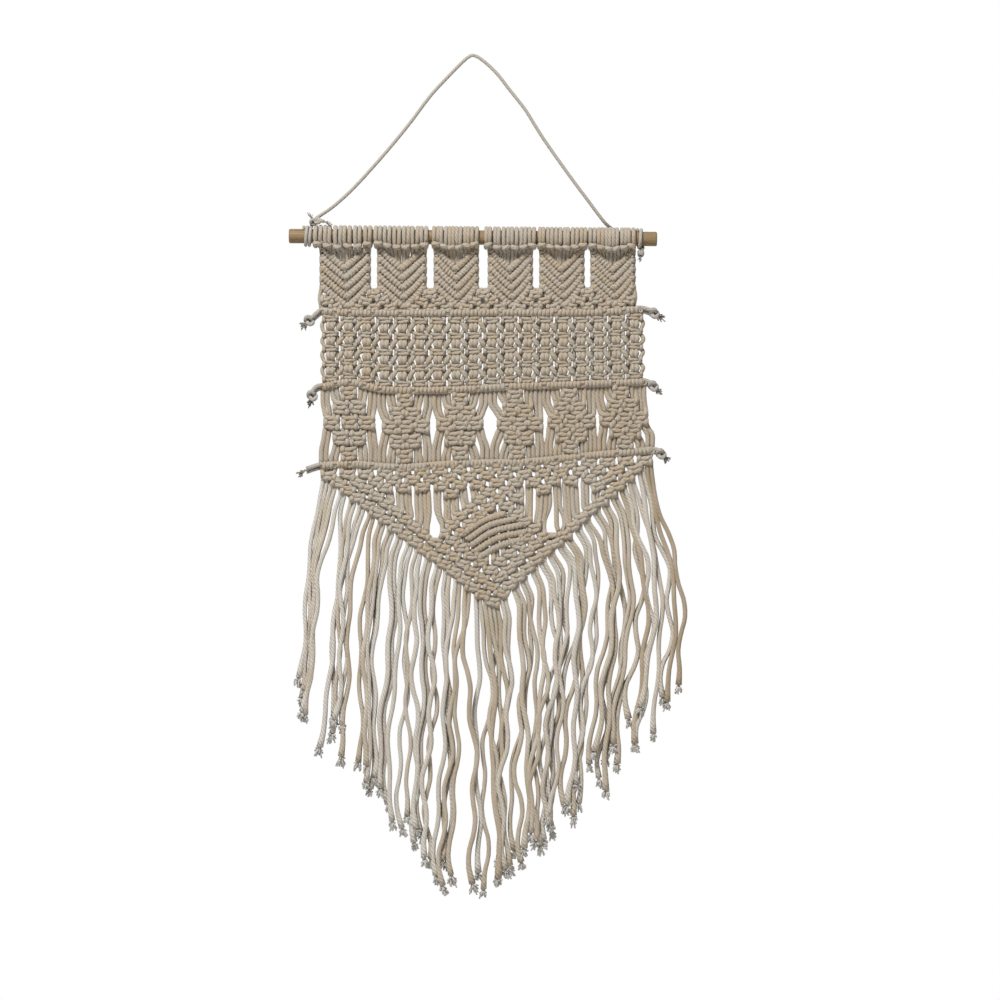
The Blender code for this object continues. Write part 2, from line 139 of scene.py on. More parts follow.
def cotton(name, pale, warm, grey, ply=4.4 * MM, depth=0.5, crease_shade_strength=1.5):
    """Undyed cotton cord: plied, a little fuzzy, with painted shade in its creases and between its plies, and no
    two cords quite the same colour.
    """
    material, shader, start = surface(name)
    lay = start.node("Attribute", {"attribute_name": "lay"}, out="Vector")
    split = lay.node("SeparateXYZ", None, {"Vector": lay})
    across = Shade(start.tree, split.socket.node.outputs["Y"])
    along = Shade(start.tree, split.socket.node.outputs["Z"])
    tint = start.node("Attribute", {"attribute_name": "tint"}, out="Fac")
    place = start.node("TexCoord", out="Object")
    turn = start.math("ARCTAN2", across, split)
    strand = start.math("ABSOLUTE", start.math("COSINE", turn * 2 + along * (math.pi / ply)))
    yarn = start.math("ABSOLUTE", start.math("COSINE", turn * 9 + along * (3.2 * math.pi / ply)))
    patch = start.node("TexNoise", None, {"Vector": place, "Scale": 26.0, "Detail": 3.0}, "Fac")
    fuzz = start.node("TexNoise", None, {"Vector": place, "Scale": 1500.0, "Detail": 4.0}, "Fac")
    warmth = start.node("ValToRGB", {"stops": ((0.0, (0, 0, 0, 1)), (1.0, (1, 1, 1, 1)))},
                        {"Fac": tint * 1.1 + patch * 0.9 - 0.6})
    greyness = start.node("ValToRGB", {"stops": ((0.35, (0, 0, 0, 1)), (0.75, (1, 1, 1, 1)))},
                          {"Fac": 1.15 - tint * 0.9 - patch * 0.35})
    body = (greyness * 0.6).mix(warmth.mix(pale, warm), grey)
    # Painted shade: the colour darkens to half the pale tone in the grooves between the plies; the fuzz noise
    # mixed in varies the tone at random.
    groove_shade = start.math("POWER", strand, 0.5)
    shaded = (groove_shade * 0.75 + fuzz * 0.6).mix([c * 0.5 for c in pale[:3]] + [1], body)
    # Painted shade: the colour darkens towards a very dark brown where other cord lies close before the surface,
    # in creases and inside knots.
    shelter = start.node("Attribute", {"attribute_name": "shelter"}, out="Fac")
    crease_shade_colour = (pale[0] * 0.14, pale[1] * 0.12, pale[2] * 0.1, 1)
    crease_shaded_colour = (shelter * crease_shade_strength).mix(shaded, crease_shade_colour)
    start.tree.links.new(crease_shaded_colour.socket, shader.inputs["Base Color"])
    start.tree.links.new((fuzz * 0.12 + 0.84).socket, shader.inputs["Roughness"])
    height = strand * 0.7 + yarn * 0.16 + fuzz * 0.35
    bump = start.node("Bump", None, {"Height": height, "Strength": depth, "Distance": 0.0011})
    start.tree.links.new(bump.socket, shader.inputs["Normal"])
    shader.inputs["Sheen Weight"].default_value = 0.35
    shader.inputs["Sheen Roughness"].default_value = 0.6
    shader.inputs["Specular IOR Level"].default_value = 0.2
    return material


def smooth(points, parts=7):
    """Dense points on a smooth line through the given ones. Further columns, such as a radius, follow."""
    p = np.asarray(points, float)
    keep = np.r_[True, np.linalg.norm(np.diff(p[:, :3], axis=0), axis=1) > 1e-6]
    p = p[keep]
    p = np.vstack([2 * p[0] - p[1], p, 2 * p[-1] - p[-2]])
    gap = np.sqrt(np.linalg.norm(np.diff(p[:, :3], axis=0), axis=1))[:, None]
    before, here, after = gap[:-2], gap[1:-1], gap[2:]
    a, b, c, d = p[:-3], p[1:-2], p[2:-1], p[3:]
    leave = here * ((b - a) / before - (c - a) / (before + here) + (c - b) / here)
    arrive = here * ((c - b) / here - (d - b) / (here + after) + (d - c) / after)
    t = np.linspace(0, 1, parts, endpoint=False)[None, :, None]
    b, c, leave, arrive = (value[:, None, :] for value in (b, c, leave, arrive))
    line = (2 * t**3 - 3 * t**2 + 1) * b + (t**3 - 2 * t**2 + t) * leave
    line = line + (3 * t**2 - 2 * t**3) * c + (t**3 - t**2) * arrive
    return np.vstack([line.reshape(-1, p.shape[1]), p[-2]])


class Cordage:
    """Lengths of round cord, gathered into one mesh. Each knows its own lay, for the twist of its plies."""

    CELL = 2.6 * MM

    def __init__(self, name, sides=8):
        self.name, self.sides = name, sides
        self.chance = random.Random(name)
        self.rings, self.cores, self.lay, self.tints, self.starts = [], [], [], [], [0]

    def add(self, points, radius=None, tint=None, bend=0.42, reach=8 * MM):
        """One cord along points of (x, y, z), or of (x, y, z, radius) where radius isn't given."""
        line = smooth(points)
        if radius is not None:
            line = np.c_[line[:, :3], np.full(len(line), radius)]
        step = np.linalg.norm(np.diff(line[:, :3], axis=0), axis=1)
        heading = np.diff(line[:, :3], axis=0) / np.maximum(step, 1e-9)[:, None]
        turned = np.arccos(np.clip((heading[1:] * heading[:-1]).sum(1), -1, 1))
        cost = np.r_[0, np.cumsum(step / reach + np.r_[0, turned] / bend)]
        spots = np.linspace(0, cost[-1], max(3, math.ceil(cost[-1]) + 1))
        line = np.column_stack([np.interp(spots, cost, column) for column in line.T])
        step = np.linalg.norm(np.diff(line[:, :3], axis=0), axis=1)
        run = np.r_[0, np.cumsum(step)]
        ahead = np.gradient(line[:, :3], axis=0)
        ahead /= np.linalg.norm(ahead, axis=1)[:, None]
        side = np.cross(ahead[0], (0.3, 0.9, 0.2))
        sides = []
        for direction in ahead:
            side = side - direction * side.dot(direction)
            side = side / math.sqrt(side.dot(side))
            sides.append(side)
        sides = np.array(sides)
        other = np.cross(ahead, sides)
        angle = np.arange(self.sides) * math.tau / self.sides
        round_it = np.cos(angle)[None, :, None] * sides[:, None] + np.sin(angle)[None, :, None] * other[:, None]
        self.rings.append(line[:, None, :3] + line[:, None, 3:4] * round_it)
        offset = self.chance.random() * 0.05
        cos, sin, far = (np.broadcast_to(v, (len(line), self.sides))
                         for v in (np.cos(angle)[None], np.sin(angle)[None], run[:, None] + offset))
        self.lay.append(np.stack([cos, sin, far], axis=2))
        self.tints.append(np.full(len(line) * self.sides, self.chance.random() if tint is None else tint))
        self.starts.append(self.starts[-1] + len(line))
        self.cores.append(np.column_stack([np.interp(np.arange(0, run[-1], MM), run, c) for c in line[:, :3].T]))

    def shelter(self):
        """How close other cord lies before each point of the surface: 0 in the open, 1 deep in a knot. It sets
        the painted shade in the cotton's colour.
        """
        points = np.concatenate(self.rings)
        out = (points - points.mean(axis=1, keepdims=True)).reshape(-1, 3)
        out /= np.linalg.norm(out, axis=1)[:, None]
        cores, points, near = np.concatenate(self.cores), points.reshape(-1, 3), 0
        for shift in (0, 0.33, 0.67):
            for ahead in (1.4 * MM, 2.4 * MM, 3.6 * MM):
                full, probe = ((np.floor(p / self.CELL + shift).astype(int) * (1, 5000, 25000000)).sum(axis=1)
                               for p in (cores, points + out * ahead))
                full = np.unique(full)
                spot = np.searchsorted(full, probe).clip(max=len(full) - 1)
                near = near + (full[spot] == probe)
        return near / 9

    def build(self, material):
        """The mesh object, with its cords unrolled side by side in the map OFBake."""
        n = self.sides
        points = np.concatenate([ring.reshape(-1, 3) for ring in self.rings])
        faces, spans = [], []
        k = np.arange(n)
        for first, last in zip(self.starts, self.starts[1:]):
            ring = (np.arange(first, last - 1) * n)[:, None]
            quads = np.stack([ring + k, ring + (k + 1) % n, ring + n + (k + 1) % n, ring + n + k], axis=2)
            faces += quads.reshape(-1, 4).tolist()
            spans += [first + i for i in range(last - first - 1)]
        caps = [[(first * n + i) for i in reversed(range(n))] for first in self.starts[:-1]]
        caps += [[(last - 1) * n + i for i in range(n)] for last in self.starts[1:]]
        mesh = bpy.data.meshes.new(self.name)
        mesh.from_pydata(points.tolist(), [], faces + caps)
        mesh.polygons.foreach_set("use_smooth", [True] * len(faces) + [False] * len(caps))
        lay = mesh.attributes.new("lay", "FLOAT_VECTOR", "POINT")
        lay.data.foreach_set("vector", np.concatenate([v.reshape(-1, 3) for v in self.lay]).ravel())
        tint = mesh.attributes.new("tint", "FLOAT", "POINT")
        tint.data.foreach_set("value", np.concatenate(self.tints))
        shelter = mesh.attributes.new("shelter", "FLOAT", "POINT")
        shelter.data.foreach_set("value", self.shelter())
        self.unroll(mesh, np.concatenate([ring.reshape(-1, n, 3) for ring in self.rings]), spans, len(caps))
        mesh.materials.append(material)
        obj = bpy.data.objects.new(self.name, mesh)
        bpy.context.scene.collection.objects.link(obj)
        return obj

    def unroll(self, mesh, rings, spans, caps):
        """The map OFBake: each cord cut open lengthwise and laid on shelves, with the cut ends on the last."""
        n = self.sides
        centres = rings.mean(axis=1)
        spans = np.array(spans)
        lengths = np.linalg.norm(centres[spans + 1] - centres[spans], axis=1)
        girth = math.tau * np.linalg.norm(rings[:, 0] - centres, axis=1).mean()
        end = np.cumsum(lengths)
        shelf = math.sqrt(end[-1] * girth)
        row = np.floor((end - lengths) / shelf)
        low = (end - lengths) - row * shelf
        high = low + lengths
        rows, width = row.max() + 2, high.max() * 1.002
        k = np.arange(n)
        bottom = (row[:, None] + 0.06 + 0.88 * k / n) / rows
        top = (row[:, None] + 0.06 + 0.88 * (k + 1) / n) / rows
        low, high = (np.broadcast_to(v[:, None] / width, bottom.shape) for v in (low, high))
        corners = ((low, bottom), (low, top), (high, top), (high, bottom))
        quads = np.stack([np.stack(pair, -1) for pair in corners], 2)
        angle = k * math.tau / n
        cap = np.stack([0.5 + 0.004 * np.cos(angle), (rows - 0.5 + 0.3 * np.sin(angle)) / rows], -1)
        corners = np.concatenate([quads.reshape(-1, 2), np.tile(cap, (caps, 1))])
        mesh.uv_layers.new(name="OFBake").data.foreach_set("uv", corners.ravel())


def fray(cords, end, direction, length, spread, fibres=9, radius=0.33 * MM, tint=None):
    """The loose fibres of a cut end."""
    end, direction = Vector(end), Vector(direction).normalized()
    for i in range(fibres):
        aim = Vector([cords.chance.uniform(-1, 1) * spread for _ in range(3)])
        reach = length * cords.chance.uniform(0.55, 1.0)
        root = end - direction * 2.5 * MM + aim * 0.08
        bent = end + direction * reach * 0.45 + aim * 0.35
        cords.add([root, bent, end + direction * reach + aim], radius, tint, bend=0.9, reach=12 * MM)


STRING_COTTON = cotton("string_cotton", (0.46, 0.415, 0.345, 1), (0.42, 0.345, 0.25, 1), (0.41, 0.38, 0.33, 1),
                       ply=5.0 * MM, depth=0.45)
STRING = 1.75 * MM
DOWEL_LOW, DOWEL_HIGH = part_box("dowel")
DOWEL_RADIUS = (DOWEL_HIGH.y - DOWEL_LOW.y) / 2


def dowel_z(x):
    """The height of the dowel's middle: it hangs a little lower at the right."""
    share = (x - DOWEL_LOW.x) / (DOWEL_HIGH.x - DOWEL_LOW.x)
    return DOWEL_HIGH.z - DOWEL_RADIUS + (DOWEL_LOW.z + DOWEL_RADIUS - DOWEL_HIGH.z + DOWEL_RADIUS) * share


HANGER_ROUTE = (
    (-164.6, 1.6, -169.2), (-161.0, 1.2, -166.4), (-137.4, 0, -149.8), (-95.0, 0, -105.4), (-60.9, 0, -64.0),
    (-43.4, 0, -40.5), (-18.6, 0, -14.0), (-7.0, 0, -2.6), (0, 0, 1.75), (7.5, 0, -0.9), (24.8, 0, -16.0),
    (39.3, 0, -34.5), (55.8, 0, -55.5), (69.2, 0, -77.5), (99.2, 0, -120.5), (123.0, 0.6, -152.4),
    (137.5, 3.4, -171.0), (144.5, 9.8, -176.4), (153.0, 13.9, -182.6), (162.0, 14.6, -187.0),
    (169.6, 14.6, -188.0),
)
route = smooth([[value * MM for value in point] for point in HANGER_ROUTE])
string = Cordage("thin_hanging_cord", sides=10)
string.add(route[::4], STRING, tint=0.4)
hanger = string.build(STRING_COTTON)
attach(hanger, "root")
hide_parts("hanger_cord")


def winding(start_x, turns, start_turn, pitch, radius):
    """Turns of cord lying side by side round the dowel."""
    line = []
    for i in range(round(turns * 14) + 1):
        turn = i / 14
        angle = math.tau * (turn + start_turn)
        x = start_x + turn * pitch
        line.append((x, -radius * math.cos(angle), dowel_z(x) + radius * math.sin(angle)))
    return line


left = Cordage("left_tie", sides=10)
wound = DOWEL_RADIUS + STRING + 0.2 * MM
turns = winding(-173.7 * MM, 2.0, 0.25, 3.85 * MM, wound)
knot_at = Vector((-161.5 * MM, -5.0 * MM, -170.2 * MM))
left.add([*turns, (-165.2 * MM, -1.6 * MM, -171.0 * MM), knot_at + Vector((0, 0.001, 0.001))], STRING, 0.35)
for lean in (-1, 1):
    loop = []
    for i in range(13):
        angle = math.tau * i / 12
        loop.append(knot_at + Vector((lean * 2.2 + 2.6 * math.cos(angle), 1.6 * lean * math.sin(angle),
                                      2.3 * math.sin(angle) + lean * 0.6)) * MM)
    left.add(loop, STRING, 0.3)
tail = [knot_at, knot_at + Vector((4.5, -0.8, 1.0)) * MM, knot_at + Vector((9.0, -1.2, -0.4)) * MM]
left.add(tail, STRING, 0.3)
fray(left, tail[-1], (1, -0.1, -0.3), 8 * MM, 3.0 * MM, fibres=12)
fray(left, knot_at + Vector((-3, 0, 2)) * MM, (-0.6, -0.1, 1), 8 * MM, 2.2 * MM, fibres=9)
left_tie = left.build(STRING_COTTON)
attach(left_tie, "root")
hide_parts("tie_left")

right = Cordage("right_tie", sides=10)
turns = winding(170.9 * MM, 1.5, 0.25, 3.85 * MM, wound)
hang = [(176.0 * MM, -2.8 * MM, -198.4 * MM), (174.8 * MM, -4.2 * MM, -201.4 * MM)]
right.add([*turns, *hang], STRING, 0.1)
knot_at = Vector(hang[-1]) + Vector((-0.6, -0.4, -1.6)) * MM
for lean in (-1, 1):
    loop = []
    for i in range(13):
        angle = math.tau * i / 12
        loop.append(knot_at + Vector((2.0 * math.cos(angle), 1.4 * lean * math.sin(angle),
                                      1.7 * math.sin(angle) + lean * 1.1)) * MM)
    right.add(loop, STRING * 0.9, 0.1)
fray(right, knot_at + Vector((0, 0, -2)) * MM, (-0.2, 0, -1), 7 * MM, 2.2 * MM, fibres=12)
right_tie = right.build(STRING_COTTON)
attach(right_tie, "root")
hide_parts("tie_right")

# --- Dowel ----------------------------------------------------------------------------------------
# A bare softwood rod, cut square and lightly sanded round its ends. It shows between the loops.

wood, shader, start = surface("dowel_wood")
place = start.node("TexCoord", out="Object")
stretched = start.node("Mapping", None, {"Vector": place, "Scale": (6.0, 160.0, 160.0)})
grain = start.node("TexNoise", None, {"Vector": stretched, "Scale": 3.0, "Detail": 6.0, "Distortion": 0.6}, "Fac")
pores = start.node("TexNoise", None, {"Vector": stretched, "Scale": 14.0, "Detail": 2.0}, "Fac")
figure = start.node("ValToRGB", {"stops": ((0.3, (0.12, 0.065, 0.027, 1)), (0.52, (0.235, 0.155, 0.07, 1)),
                                          (0.75, (0.31, 0.225, 0.115, 1)))}, {"Fac": grain * 0.8 + pores * 0.25})
start.tree.links.new(figure.socket, shader.inputs["Base Color"])
start.tree.links.new((0.72 - grain * 0.2).socket, shader.inputs["Roughness"])
bump = start.node("Bump", None, {"Height": grain + pores * 0.4, "Strength": 0.35, "Distance": 0.0004})
start.tree.links.new(bump.socket, shader.inputs["Normal"])
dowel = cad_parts["dowel"]
dowel.data.materials.clear()
dowel.data.materials.append(wood)

# --- Mounted cords --------------------------------------------------------------------------------
# Each cord is folded in half and looped on to the dowel: the fold lies across the front as a short bar,
# and both halves go back under the dowel, up behind it, over, and down behind the bar. Twelve make a tab.

BODY_COTTON = cotton("body_cotton", (0.46, 0.38, 0.285, 1), (0.435, 0.345, 0.24, 1), (0.435, 0.38, 0.305, 1))
CORD = 2.25 * MM
PANEL_Y = -3.0 * MM
PER_TAB = 12
ENDS = 6 * PER_TAB
RIBS = 5
RIB_DROP = 23.5 * MM
RIB_HALF = 3.3 * MM

Tab = namedtuple("Tab", "left right centre first last")


def tab_sizes(number):
    """A tab's edges and middle, and the heights where its first and last ribs leave the edges."""
    low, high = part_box(f"tab_{number}")
    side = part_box(f"join_{min(number + 1, 7)}")[1].z
    return Tab(low.x, high.x, (low.x + high.x) / 2, high.z + 2.4 * MM, side + RIB_HALF + 2.0 * MM)


TABS = [tab_sizes(number) for number in range(1, 7)]


def rib_z(tab, number, x):
    """The height of a rib's middle at x, in the V of ribs number 0 to 4."""
    edge = tab.first + (tab.last - tab.first) * number / (RIBS - 1)
    half = (tab.right - tab.left) / 2
    return edge - RIB_DROP * (1 - abs(x - tab.centre) / half)


def spread(left, right, count, margin):
    """Even places between two edges, a margin in from both."""
    return [left + margin + (right - left - 2 * margin) * i / (count - 1) for i in range(count)]


mounted = Cordage("mounted_cords", sides=8)
around = DOWEL_RADIUS + CORD
for number, tab in enumerate(TABS, 1):
    low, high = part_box(f"heading_{number}")
    wraps = spread(low.x, high.x, PER_TAB, CORD)
    ends = spread(tab.left, tab.right, PER_TAB, CORD + 0.6 * MM)
    for fold in range(PER_TAB // 2):
        pair = (2 * fold, 2 * fold + 1)
        middle = sum(wraps[i] for i in pair) / 2 + mounted.chance.uniform(-0.3, 0.3) * MM
        below = 7.0 + 4.6 * math.sin(math.pi * (fold + 0.5) / 6) + mounted.chance.uniform(-0.8, 0.8)
        centre = dowel_z(middle)
        bar_z = centre - below * MM
        tilt = mounted.chance.uniform(-0.8, 0.8) * MM
        halves = []
        for i, hand in zip(pair, (-1, 1)):
            x = wraps[i] + mounted.chance.uniform(-0.6, 0.6) * MM
            lean = mounted.chance.uniform(-0.9, 0.9) * MM
            line = [(middle + hand * 1.7 * MM, -12.6 * MM, bar_z + hand * tilt, 2.45 * MM),
                    (middle + hand * 2.7 * MM, -9.6 * MM, bar_z + 0.4 * MM + hand * tilt, 2.3 * MM),
                    (middle + hand * 2.4 * MM, -3.5 * MM, centre - around - 0.8 * MM)]
            for turn in range(15, 285, 30):
                angle = math.radians(turn)
                shift = lean * (turn / 270 - 1)
                line.append((x + shift, around * math.sin(angle), centre - around * math.cos(angle)))
            line.append((x - hand * 0.2 * MM, -7.6 * MM, max(bar_z + 3.0 * MM, centre - 8.5 * MM)))
            line.append(((x + ends[i]) / 2, -6.4 * MM, bar_z - 0.6 * MM))
            line.append((ends[i], PANEL_Y - 1.0 * MM, bar_z - 4.0 * MM))
            stop = rib_z(tab, 0, ends[i])
            if stop < bar_z - 12 * MM:
                sway = mounted.chance.uniform(-0.8, 0.8) * MM
                line.append((ends[i] + sway, PANEL_Y + 0.8 * MM, (stop + bar_z - 4 * MM) / 2))
            line.append((ends[i], PANEL_Y + 0.8 * MM, min(stop, bar_z - 6 * MM)))
            halves.append(line)
        whole = [*reversed(halves[0]), (middle, -13.2 * MM, bar_z, 2.5 * MM), *halves[1]]
        mounted.add([(*point, CORD)[:4] for point in whole])
loops = mounted.build(BODY_COTTON)
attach(loops, "root")
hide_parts(*(f"heading_{number}" for number in range(1, 7)))

# --- Ribbed tabs ----------------------------------------------------------------------------------
# Five rows of double half hitches run down from both edges of each tab to a point in its middle. In a
# row every cord is hitched twice over one that is held slantwise, so each shows as a pair of turns.


def hitches(cords, line, pitch, wide, deep, radius, tint=None):
    """A row of hitches along a line: the turns of its cords round the one held inside."""
    line = smooth(line, parts=12)
    far = np.r_[0, np.cumsum(np.linalg.norm(np.diff(line, axis=0), axis=1))]
    count = max(2, round(far[-1] / pitch))
    share = cords.chance.random() if tint is None else tint
    turns = []
    for loop in range(count):
        size = cords.chance.uniform(0.93, 1.07)
        lean = cords.chance.uniform(-0.12, 0.12) * pitch
        for i in range(10):
            spot = (loop + i / 10 - 0.13 * math.sin(math.tau * i / 10)) / count * far[-1]
            here, ahead = (Vector([np.interp(at, far, column) for column in line.T])
                           for at in (spot, spot + 0.001))
            if spot > far[-1] - 0.001:
                ahead = here + Vector(line[-1] - line[-2])
            along = (ahead - here).normalized()
            up = Vector((-along.z, 0, along.x)) * (1 if along.x > 0 else -1)
            angle = math.tau * i / 10
            turns.append(here + along * lean * math.sin(angle) + up * math.sin(angle) * wide * size
                         - Vector((0, math.cos(angle) * deep * size, 0)))
    cords.add(turns, radius, share, bend=0.6)
    cords.add(line[::4], wide + 0.78 * radius, share, reach=12 * MM)


ribbed = Cordage("ribbed_tabs", sides=8)
for tab in TABS:
    for number in range(RIBS):
        edge = rib_z(tab, number, tab.left)
        point = rib_z(tab, number, tab.centre)
        middle = tab.centre + (0.9 * number - 0.8) * MM
        uneven = ribbed.chance.uniform(-0.4, 0.4) * MM
        for x, hand in ((tab.left, 1), (tab.right, -1)):
            start = (x + hand * 2.8 * MM, PANEL_Y, edge - 0.6 * MM + uneven)
            bowed = (x + (middle - x) * 0.5, PANEL_Y, (edge + point) / 2 + 0.4 * MM)
            end = (middle + hand * 1.2 * MM, PANEL_Y + (0.5 if hand > 0 else -0.3) * MM, point - 0.4 * MM)
            hitches(ribbed, [start, bowed, end], 3.7 * MM, 2.3 * MM, 2.5 * MM, 2.05 * MM)
            below = rib_z(tab, number + 1, x)
            turn = [(x + hand * 5.0 * MM, PANEL_Y + 0.6 * MM, edge - 1.5 * MM),
                    (x + hand * 2.8 * MM, PANEL_Y - 0.6 * MM, edge - 0.4 * MM),
                    (x + hand * 2.3 * MM, PANEL_Y - 0.3 * MM, (edge + below) / 2),
                    (x + hand * 2.8 * MM, PANEL_Y + 0.6 * MM, below + 1.0 * MM)]
            ribbed.add(turn, 2.0 * MM)
tabs = ribbed.build(BODY_COTTON)
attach(tabs, "root")
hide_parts(*(f"tab_{number}" for number in range(1, 7)))

# --- Holding cords --------------------------------------------------------------------------------
# Three cords laid across, each with all the hanging cords hitched over it one after another. Both
# ends stick out at the sides: most are knotted, and all are cut short and frayed.

Row = namedtuple("Row", "node line left_end right_end")
ROWS = (
    Row(
        "holding_cord_1",
        ((-155, -262.9), (-126, -264.4), (-74, -265), (29, -264.4), (137, -263.9), (174, -260.8)),
        ((-160, -266.0), (-164, -270.0), (-168, -272.5)),
        ((179, -261.6), (184, -263.5), (188, -265.0)),
    ),
    Row(
        "holding_cord_2",
        ((-155, -340.9), (-126, -336.2), (-95, -343.4), (-23, -344), (36, -340.9), (114, -338.2), (178, -335.7)),
        ((-160, -342.0), (-164, -346.0), (-165, -350.0)),
        ((182, -337.0), (185, -338.5), (187, -340.0)),
    ),
    Row(
        "holding_cord_3",
        ((-156, -422.5), (-126, -420.8), (-77, -424), (-12, -420.2), (60, -418.3), (114, -412.7), (186, -406.5)),
        ((-161, -423.6), (-167, -425.6), (-171, -427.0)),
        ((190, -407.0), (193, -408.5), (195, -410.0)),
    ),
)
ROW_RADIUS = 4.15 * MM
ROW_Y = PANEL_Y - 1.6 * MM
END_COTTON = cotton("end_cotton", (0.46, 0.41, 0.34, 1), (0.42, 0.35, 0.27, 1), (0.41, 0.39, 0.36, 1))
ROW_LINES = {row.node: smooth([(a * MM, ROW_Y, b * MM) for a, b in row.line], parts=12) for row in ROWS}


def row_z(row, x):
    """The height of a holding cord's middle at x."""
    line = ROW_LINES[row.node]
    return float(np.interp(x, line[:, 0], line[:, 2]))


for row in ROWS:
    bar = Cordage(f"{row.node}_hitches", sides=8)
    line = ROW_LINES[row.node]
    for first in range(0, len(line) - 1, 6):
        hitches(bar, line[first:first + 7:2], 4.1 * MM, 2.1 * MM, 3.2 * MM, 2.25 * MM)
    whole = bar.build(BODY_COTTON)
    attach(whole, "root")
    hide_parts(row.node)

    ends = Cordage(f"{row.node}_ends", sides=8)
    for side, near in ((row.left_end, row.line[0]), (row.right_end, row.line[-1])):
        hand = 1 if side is row.right_end else -1
        path = [Vector((x * MM, PANEL_Y, z * MM)) for x, z in ((near[0] - hand * 6, near[1]), near, *side)]
        for offset in (-1.7 * MM, 1.7 * MM):
            ends.add([point + Vector((0, offset, -offset)) for point in path], CORD, 0.2)
        knot_at = path[-1]
        away = (path[-1] - path[-2]).normalized()
        if not (hand < 0 and row.node == "holding_cord_3"):
            for lean in (-1, 1):
                loop = []
                for i in range(13):
                    angle = math.tau * i / 12
                    loop.append(knot_at + Vector((2.9 * math.cos(angle) + lean, 2.8 * lean * math.sin(angle),
                                                  3.0 * math.sin(angle) - lean)) * MM)
                ends.add(loop, 2.2 * MM, 0.2)
        fray(ends, knot_at + away * 3 * MM, away + Vector((0, 0, -0.4)), 7 * MM, 3.6 * MM, 24, 0.6 * MM)
    tails = ends.build(END_COTTON)
    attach(tails, "root")
    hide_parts(row.node)

# --- Joins between the tabs' points ---------------------------------------------------------------
# Square knots in alternating rows fill each triangle under a slit: four cords to a knot, the middle
# two straight and the outer two tied over and under them. Half a triangle stands at each outer edge.

Knot = namedtuple("Knot", "x z first wide high halves lead turn")
# Across, back and up, in shares of a half knot's side, depth and height.
OVER = ((1, -0.5, 0.42), (0.6, -1.0, 0.1), (0, -1.05, 0), (-0.55, -0.7, -0.05), (-0.9, 0.1, -0.1))
UNDER = ((-1, -0.7, 0.5), (-0.98, -1.35, 0.1), (-0.96, -0.8, -0.35), (-0.7, 0.6, -0.3), (0, 1, 0), (0.7, 0.8, 0),
         (1, 0.1, -0.35))


def square_knot(knot, radius, depth):
    """The four cords' ways through a knot, from left to right."""
    step = knot.high / knot.halves
    side = knot.wide / 2 - radius
    hand = -knot.lead
    over, under = [], []
    for i in range(knot.halves):
        level = knot.high / 2 - (i + 0.5) * step
        over += [(hand * side * a, depth * b, level + step * c) for a, b, c in OVER]
        under += [(hand * side * a, depth * b, level + step * c) for a, b, c in UNDER]
        hand = -hand
    core = radius * 0.98
    ways = [over, [(-core, 0, 0.52 * knot.high), (-core, 0, -0.52 * knot.high)],
            [(core, 0, 0.52 * knot.high), (core, 0, -0.52 * knot.high)], under]
    if knot.lead < 0:
        ways.reverse()
        ways[1], ways[2] = ways[2], ways[1]
    cos, sin = math.cos(knot.turn), math.sin(knot.turn)
    return [[(knot.x + a * cos - b * sin, PANEL_Y + y, knot.z + a * sin + b * cos) for a, y, b in way]
            for way in ways]


def lead_cords(tops, knots, feet, chance, depth=3.1 * MM, slack=0.7 * MM):
    """Each cord's way from its top, through the knots on it, to its foot."""
    runs = {place: list(top) for place, top in tops.items()}

    def go(place, ahead):
        last = runs[place][-1]
        if last[2] - ahead[2] > 11 * MM:
            runs[place].append(((last[0] + ahead[0]) / 2 + chance.uniform(-slack, slack),
                                PANEL_Y + chance.uniform(-slack, slack), (last[2] + ahead[2]) / 2))

    for knot in sorted(knots, key=lambda knot: -knot.z):
        places = [knot.first + i for i in range(4)]
        for place, way in zip(places, square_knot(knot, CORD, depth)):
            go(place, way[0])
            runs[place] += way
        if knot.halves % 2:
            runs[places[0]], runs[places[3]] = runs[places[3]], runs[places[0]]
    for place, foot in feet.items():
        go(place, foot[0])
        runs[place] += foot
    return list(runs.values())


joins = Cordage("joining_knots", sides=8)
for number in range(7):
    low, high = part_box(f"join_{number + 1}")
    base = row_z(ROWS[0], (low.x + high.x) / 2)
    if number == 0:
        slit = low.x + 3 * MM
    elif number == 6:
        slit = high.x - 3 * MM
    else:
        slit = (TABS[number - 1].right + TABS[number].left) / 2
    for level in range(3):
        for i in range(level + 1):
            x = slit + (i - level / 2) * 17.6 * MM
            if low.x + 4 * MM < x < high.x - 4 * MM:
                z = high.z - 5.4 * MM - level * 6.6 * MM + joins.chance.uniform(-0.4, 0.4) * MM
                slope = math.copysign(0.2, x - slit) if abs(x - slit) > 5 * MM else 0
                knot = Knot(x, z, 0, 14.4 * MM, 7.4 * MM, 2, joins.chance.choice((-1, 1)), slope)
                tops = {k: [(x + (k - 1.5) * 3.6 * MM, PANEL_Y + 1.5 * MM, z + 6.5 * MM)] for k in range(4)}
                feet = {k: [(x + (k - 1.5) * 4.5 * MM, PANEL_Y + 1.0 * MM, max(base, z - 9 * MM))]
                        for k in range(4)}
                for run in lead_cords(tops, [knot], feet, joins.chance):
                    joins.add(run, CORD)
for tab in TABS:
    foot = row_z(ROWS[0], tab.centre)
    for i in range(-4, 5):
        x = tab.centre + i * 4.4 * MM
        top = rib_z(tab, RIBS - 1, x) - 1 * MM
        joins.add([(x, PANEL_Y + 2.4 * MM, top), (x + 0.6 * MM, PANEL_Y + 1.6 * MM, (top + foot) / 2),
                   (x, PANEL_Y + 0.5 * MM, foot)], CORD)
